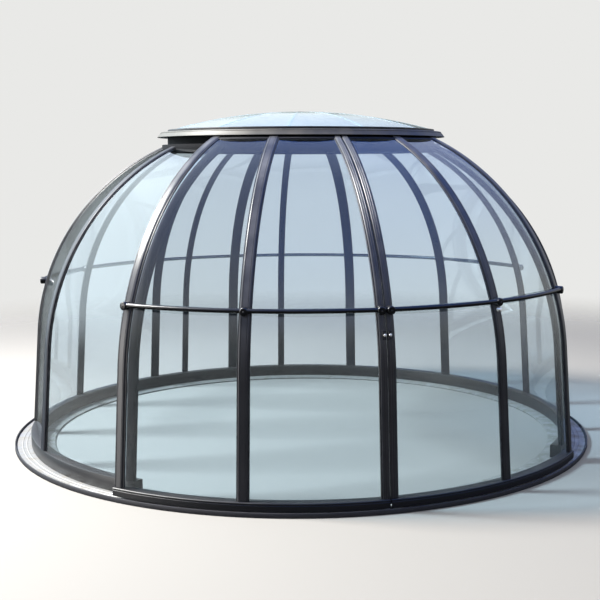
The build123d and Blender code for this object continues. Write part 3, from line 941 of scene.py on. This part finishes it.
for side, places in door_places.items():
    first, last = door_edges(places, DOOR_SILL[0])
    ends = (places[0][0], last) if side == "left" else (first, places[-1][0])
    bar_set(f"{side}_door_bar", f"{side}_door", DOOR_SEAM, 0.0, places, *ends, f"{side}_door_bar")
back_bar_set("back_bar", BAR_NODE_FROM, BACK_BAR[1], range(BAR_NODE_FROM, BACK_BAR[1] + 1),
             "back_bar")
back_bar_set("back_bar_left_end", BACK_BAR[0], BAR_NODE_FROM, range(BACK_BAR[0], BAR_NODE_FROM))

# %% [markdown]
# Wheels, locks and seals.  Each door rolls on three nylon wheels with a steel bearing on a hexagon
# bolt.  A lock plate with a turning knob sits on each meeting rib, and a polished knob is on the
# right door's middle rib, just under the bar.

# %% Wheels, locks and seals
WHEEL, WHEEL_HALF, RECESS = 0.019, 0.008, 0.002
WHEEL_INSET = 2         # degrees from a door's edge to its outer wheels
BOLT_HALF = (DOOR_SILL[1] - DOOR_SILL[0]) / 2 - SILL_WALL - GAP
BOLT_R, NUT_R, NUT_THICK = 0.004, 0.0065, 0.004
LOCK_Z, LOCK_HIGH, LOCK_WIDE, LOCK_THICK, LOCK_MARGIN = 1.005, 0.050, 0.020, 0.005, 0.002
LOCK_KNOB = [(0, 0.0062), (0.0012, 0.0055), (0.0085, 0.0045), (0.0092, 0.0070), (0.0110, 0.0080),
             (0.0155, 0.0080), (0.0175, 0.0066), (0.0180, TIP)]
KNOB_DROP = 0.053
KNOB = [(0, 0.012), (0.0015, 0.012), (0.003, 0.006), (0.010, 0.0055), (0.012, 0.010),
        (0.016, 0.0135), (0.021, 0.0135), (0.025, 0.010), (0.0265, TIP)]
BULB = ((0, -0.006), (0.0012, -0.0058), (0.0028, -0.0045), (0.0034, -0.003), (0.0028, -0.0015),
        (0, 0))     # sideways from a meeting rib, and out

wheel = both_ways([(-WHEEL_HALF, TIP), (-WHEEL_HALF, 0.008), (RECESS - WHEEL_HALF, 0.009),
                   (RECESS - WHEEL_HALF, 0.014), (-WHEEL_HALF, 0.0155),
                   (-WHEEL_HALF, WHEEL - RECESS), (RECESS - WHEEL_HALF, WHEEL)])
axle = both_ways([(-BOLT_HALF, TIP), (-BOLT_HALF, NUT_R), (NUT_THICK - BOLT_HALF, NUT_R),
                  (NUT_THICK - BOLT_HALF, BOLT_R)])


def face_frame(height, bearing, shift):
    """Point on a rib's outer face at a height, and the face's normal there."""
    slope = angle_at_height(height, PROUD)
    normal = outward(bearing) * cos(slope) + UP * sin(slope)
    radius = arc_point(slope, PROUD)[0] + GAP
    return outward(bearing) * radius + sideways(bearing) * shift + UP * height, normal


for side, places in door_places.items():
    body = f"{side}_door"
    first, last = door_edges(places, DOOR_SILL[0])
    wheels, axles = Shape(), Shape()
    for bearing in (first + WHEEL_INSET, (first + last) / 2, last - WHEEL_INSET):
        axis = outward(bearing)
        middle = axis * WHEEL_LINE + UP * (TRACK_HIGH + GAP + WHEEL)
        wheels.spun(wheel, middle, axis, sides=32)
        axles.spun(axle, middle, axis, sides=6)
    piece(f"{side}_door_wheels", wheels, nylon, body, f"{side}_door_rollers",
          slot="roller_plastic")
    piece(f"{side}_door_wheel_bolts", axles, satin_steel, body, slot="lock_steel")

    bearing, width, shift = places[door_names[side].index("meeting")]
    lock_shift = copysign((MEETING_GAP + LOCK_WIDE) / 2 + LOCK_MARGIN, shift)
    seat, normal = face_frame(LOCK_Z, bearing, lock_shift)
    plate = Shape().block(seat, sideways(bearing), normal, LOCK_WIDE, LOCK_HIGH, LOCK_THICK,
                          corner=0.005, soften=0.0015)
    piece(f"{side}_door_lock_plate", plate, bar_coat, body, f"{side}_door_lock")
    lock = Shape().spun(LOCK_KNOB, seat + normal * LOCK_THICK, normal, sides=28)
    piece(f"{side}_door_lock_knob", lock, whitened_steel, body, slot="lock_steel")

    toward = 1 if shift < 0 else -1
    section = [(toward * (width / 2 + u), v) for u, v in BULB]
    bulb = Shape().carried(section, curve(0, DOOR_LOW, door_top(0)), bearing, shift)
    piece(f"{side}_door_meeting_seal", bulb, black_rubber, body)

seat, normal = face_frame(DOOR_SEAM - KNOB_DROP, door_places["right"][1][0], 0.0)
knob = Shape().spun(KNOB, seat, normal, sides=32)
piece("right_door_knob", knob, whitened_steel, "right_door", slot="lock_steel")

# %% [markdown]
# The studio.  The floor is a wide pale disc that melts into the background toward its rim.  The
# world is pale where the camera looks at it directly or through a pane.  Reflections see a soft
# outdoor sky instead, since large smooth panes show little but what they mirror: deep blue
# overhead, whitish low down, hazy far left, and dark near the horizon on the camera's side, which
# leaves the feet of the ribs nearly black.  A dark far rim shows in the panes seen edge-on.  The
# key lamp and a low glare shine on the ribs and their edges.  The lamp leaves out the flat panes,
# which would show it as a hard white patch from some sides.

# %% Floor, lights and world
FLOOR, FLOOR_THICK = 60.0, 0.02
FADE_FROM, FADE_TO = 3.4, 9.0       # distance from the axis at which the floor melts away
SMOOTH = {"interpolation_type": "SMOOTHSTEP"}
floor = Shape().spun([(-FLOOR_THICK, TIP), (-FLOOR_THICK, FLOOR), (0, FLOOR), (0, TIP)],
                     Vector((0, 0, 0)), UP, sides=96)
mesh = bpy.data.meshes.new("studio_floor")
mesh.from_pydata(floor.points, [], floor.faces)
studio = bpy.data.objects.new("studio_floor", mesh)
bpy.context.scene.collection.objects.link(studio)
material, tree, point = new_material("studio_floor_paint")
length = add(tree, "VectorMath", out="Value", operation="LENGTH", n0=point)
fade = remap(tree, length, FADE_FROM, FADE_TO, **SMOOTH)
paint = add(tree, "BsdfPrincipled", Base_Color=linear("#9c9a97"), Roughness=0.8)
clear = add(tree, "BsdfTransparent")
finish_material(tree, add(tree, "MixShader", n0=fade, n1=paint, n2=clear))
mesh.materials.append(material)
studio.visible_glossy = False


def lamp(name, place, target, size, watts, code, mirrored):
    data = bpy.data.lights.new(name, "AREA")
    data.shape, data.size, data.energy, data.color = "DISK", size, watts, linear(code)[:3]
    made = bpy.data.objects.new(name, data)
    bpy.context.scene.collection.objects.link(made)
    made.location = place
    made.rotation_euler = (Vector(place) - Vector(target)).to_track_quat("Z", "Y").to_euler()
    made.visible_glossy, made.visible_transmission = mirrored, False
    return made


key = lamp("key_upper_left", (-7.8, -0.5, 8.4), (0, 0, 1.0), 3.0, 3800, "#fffcf7", mirrored=True)
lamp("fill_right", (8.5, -6.0, 4.0), (0, 0, 1.0), 5.0, 150, "#eef4ff", mirrored=False)
panes = bpy.data.collections.new("sheets_that_do_not_mirror_the_key")
for made in bpy.data.objects:
    if made.active_material in (pane_sheet, strip_sheet):
        panes.objects.link(made)
key.light_linking.receiver_collection = panes
for member in panes.collection_objects:
    member.light_linking.link_state = "EXCLUDE"

GLOW = Vector((-0.80, 0.45, 0.40)).normalized()
LOW_GLARE = Vector((-0.95, -0.29, 0.06)).normalized()
world = bpy.data.worlds.new("studio")
bpy.context.scene.world = world
world.use_nodes = True
tree = world.node_tree
tree.nodes.clear()
direction = add(tree, "TexCoord", out="Generated")
sky = add(tree, "SeparateXYZ", Vector=direction).node.outputs
high = remap(tree, sky[2], 0.2, 0.8)
east = remap(tree, sky[0], -0.8, 0.3, 0.4, 1.0)
open_sky = blend(tree, times(tree, high, east), linear("#eef2f4"), [0.06, 0.42, 2.0, 1.0])
toward = add(tree, "VectorMath", out="Value", operation="DOT_PRODUCT", n0=direction, n1=GLOW)
glow = remap(tree, toward, 0.72, 0.97, **SMOOTH)
hazy = blend(tree, glow, open_sky, [3.7, 4.4, 4.8, 1.0])
tilted = add(tree, "Math", operation="MULTIPLY_ADD", n0=sky[1], n1=0.22, n2=sky[2])
over_dark = blend(tree, remap(tree, tilted, -0.1, 0.2, **SMOOTH), linear("#2b2d2b"), hazy)
north, low = remap(tree, sky[1], 0.80, 0.92), remap(tree, sky[2], 0.22, 0.14)
rim = blend(tree, times(tree, north, low), over_dark, linear("#3c3e3a"))
near = add(tree, "VectorMath", out="Value", operation="DOT_PRODUCT", n0=direction, n1=LOW_GLARE)
halo = remap(tree, near, 0.955, 0.985, **SMOOTH)
mirrored = blend(tree, halo, rim, [9.0, 8.7, 8.3, 1.0])
path = add(tree, "LightPath").node.outputs
seen = add(tree, "Math", operation="MAXIMUM", n0=path["Is Camera Ray"],
           n1=path["Is Transmission Ray"])
soft = blend(tree, path["Is Glossy Ray"], linear("#dfe3e8"), mirrored)
colour = blend(tree, seen, soft, linear("#e9e9e7"))
strength = remap(tree, seen, 0, 1, 0.72, 1.0)
add(tree, "OutputWorld", Surface=add(tree, "Background", Color=colour, Strength=strength))
